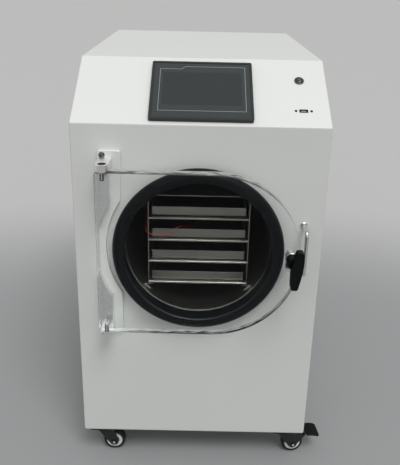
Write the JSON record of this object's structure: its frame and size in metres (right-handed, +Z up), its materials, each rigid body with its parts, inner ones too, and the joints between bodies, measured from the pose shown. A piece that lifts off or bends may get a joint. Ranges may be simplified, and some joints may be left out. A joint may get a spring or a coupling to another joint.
{
  "type": "freeze dryer",
  "caption": "Upright cabinet freeze dryer on castors with a cold drum behind a clear hinged door, a rack of trays inside and a touch panel on its sloping fascia.",
  "frame": {"origin": "middle of the footprint, on the floor", "axes": "+Z up, the door faces -Y, +X to the right of someone facing the door"},
  "size_m": [0.5892, 0.8222, 0.9],
  "materials": {
    "white_paint": "satin powder coat",
    "stainless": "brushed",
    "bright_steel": "polished",
    "black_moulding": "fine grain",
    "black_bezel": "semi-gloss",
    "screen": "printed glass",
    "black_steel": "satin black",
    "black_rubber": "moulded",
    "tyre": "matt",
    "clear_acrylic": "polished acrylic",
    "foam": "closed-cell foam",
    "galvanised": "galvanised",
    "fan_plastic": "glass-filled",
    "red_sleeve": "silicone"
  },
  "bodies": {
    "cabinet": {"front_panel": "white_paint", "left_side_panel": "white_paint", "right_side_panel": "white_paint", "top_cover": "white_paint", "rear_panel": "white_paint", "base_pan": "white_paint", "hinge_plate": "white_paint", "drum_cradle_front": "galvanised", "drum_cradle_rear": "galvanised", "condenser": "galvanised", "control_box": "galvanised", "chamber_drum": "stainless", "rack_side_left": "stainless", "rack_side_right": "stainless", "rack_top": "stainless", "shelf_1": "stainless", "shelf_2": "stainless", "shelf_3": "stainless", "shelf_4": "stainless", "tray_1": "stainless", "tray_2": "stainless", "tray_3": "stainless", "tray_4": "stainless", "door_gasket": "black_rubber", "insulation_jacket": "foam", "probe_gland": "bright_steel", "probe_tip": "bright_steel", "hinge_bracket_top": "bright_steel", "hinge_bracket_bottom": "bright_steel", "pivot_pin_top": "bright_steel", "pivot_pin_bottom": "bright_steel", "latch_keeper": "bright_steel", "button_bezel": "bright_steel", "usb_socket": "bright_steel", "probe_wire": "red_sleeve", "power_inlet": "black_moulding", "hmi_housing": "black_bezel", "hmi_glass": "screen", "castor_plate_front_left": "black_steel", "castor_plate_front_right": "black_steel", "castor_plate_rear_left": "black_steel", "castor_plate_rear_right": "black_steel", "compressor": "black_steel", "fan_shroud": "fan_plastic"},
    "door": {"door_pane": "clear_acrylic", "latch_bush": "bright_steel"},
    "handle": {"door_handle": "black_moulding", "latch_tongue": "bright_steel"},
    "power_button": {"button_cap": "bright_steel"},
    "fan": {"fan_rotor": "fan_plastic"},
    "swivel_front_left": {"castor_fork_front_left": "black_steel"},
    "wheel_front_left": {"castor_wheel_front_left": "tyre"},
    "swivel_front_right": {"castor_fork_front_right": "black_steel"},
    "wheel_front_right": {"castor_wheel_front_right": "tyre"},
    "pedal_front_right": {"brake_pedal_front_right": "black_moulding"},
    "swivel_rear_left": {"castor_fork_rear_left": "black_steel"},
    "wheel_rear_left": {"castor_wheel_rear_left": "tyre"},
    "pedal_rear_left": {"brake_pedal_rear_left": "black_moulding"},
    "swivel_rear_right": {"castor_fork_rear_right": "black_steel"},
    "wheel_rear_right": {"castor_wheel_rear_right": "tyre"}
  },
  "joints": [
    {"name": "door_hinge", "type": "hinge", "parent": "cabinet", "child": "door", "pos_m": [-0.182, -0.362, 0.545], "axis": [0, 0, -1], "range_deg": [0, 160]},
    {"name": "handle_turn", "type": "hinge", "parent": "door", "child": "handle", "pos_m": [0.18, -0.362, 0.549], "axis": [0, -1, 0], "range_deg": [0, 90]},
    {"name": "button_press", "type": "slide", "parent": "cabinet", "child": "power_button", "axis": [0, 0.5735, -0.8192], "range_m": [0, 0.0025], "stiffness_N_per_m": 400, "springref_m": -0.0005},
    {"name": "fan_spin", "type": "hinge", "parent": "cabinet", "child": "fan", "pos_m": [0.11, 0.3621, 0.2], "axis": [0, 1, 0], "continuous": true},
    {"name": "castor_front_left_swivel", "type": "hinge", "parent": "cabinet", "child": "swivel_front_left", "pos_m": [-0.208, -0.2849, 0.06], "axis": [0, 0, 1], "continuous": true},
    {"name": "castor_front_left_roll", "type": "hinge", "parent": "swivel_front_left", "child": "wheel_front_left", "pos_m": [-0.186, -0.2849, 0.025], "axis": [0, 1, 0], "continuous": true},
    {"name": "castor_front_right_swivel", "type": "hinge", "parent": "cabinet", "child": "swivel_front_right", "pos_m": [0.208, -0.2849, 0.06], "axis": [0, 0, 1], "continuous": true},
    {"name": "castor_front_right_roll", "type": "hinge", "parent": "swivel_front_right", "child": "wheel_front_right", "pos_m": [0.22984, -0.28222, 0.025], "axis": [-0.1219, 0.9925, 0], "continuous": true},
    {"name": "castor_front_right_brake", "type": "hinge", "parent": "swivel_front_right", "child": "pedal_front_right", "pos_m": [0.25366, -0.27929, 0.052], "axis": [-0.1219, 0.9925, 0], "range_deg": [0, 12]},
    {"name": "castor_rear_left_swivel", "type": "hinge", "parent": "cabinet", "child": "swivel_rear_left", "pos_m": [-0.208, 0.3511, 0.06], "axis": [0, 0, 1], "continuous": true},
    {"name": "castor_rear_left_roll", "type": "hinge", "parent": "swivel_rear_left", "child": "wheel_rear_left", "pos_m": [-0.22984, 0.34842, 0.025], "axis": [0.1219, -0.9925, 0], "continuous": true},
    {"name": "castor_rear_left_brake", "type": "hinge", "parent": "swivel_rear_left", "child": "pedal_rear_left", "pos_m": [-0.25366, 0.34549, 0.052], "axis": [0.1219, -0.9925, 0], "range_deg": [0, 12]},
    {"name": "castor_rear_right_swivel", "type": "hinge", "parent": "cabinet", "child": "swivel_rear_right", "pos_m": [0.208, 0.3511, 0.06], "axis": [0, 0, 1], "continuous": true},
    {"name": "castor_rear_right_roll", "type": "hinge", "parent": "swivel_rear_right", "child": "wheel_rear_right", "pos_m": [0.186, 0.3511, 0.025], "axis": [0, -1, 0], "continuous": true}
  ]
}
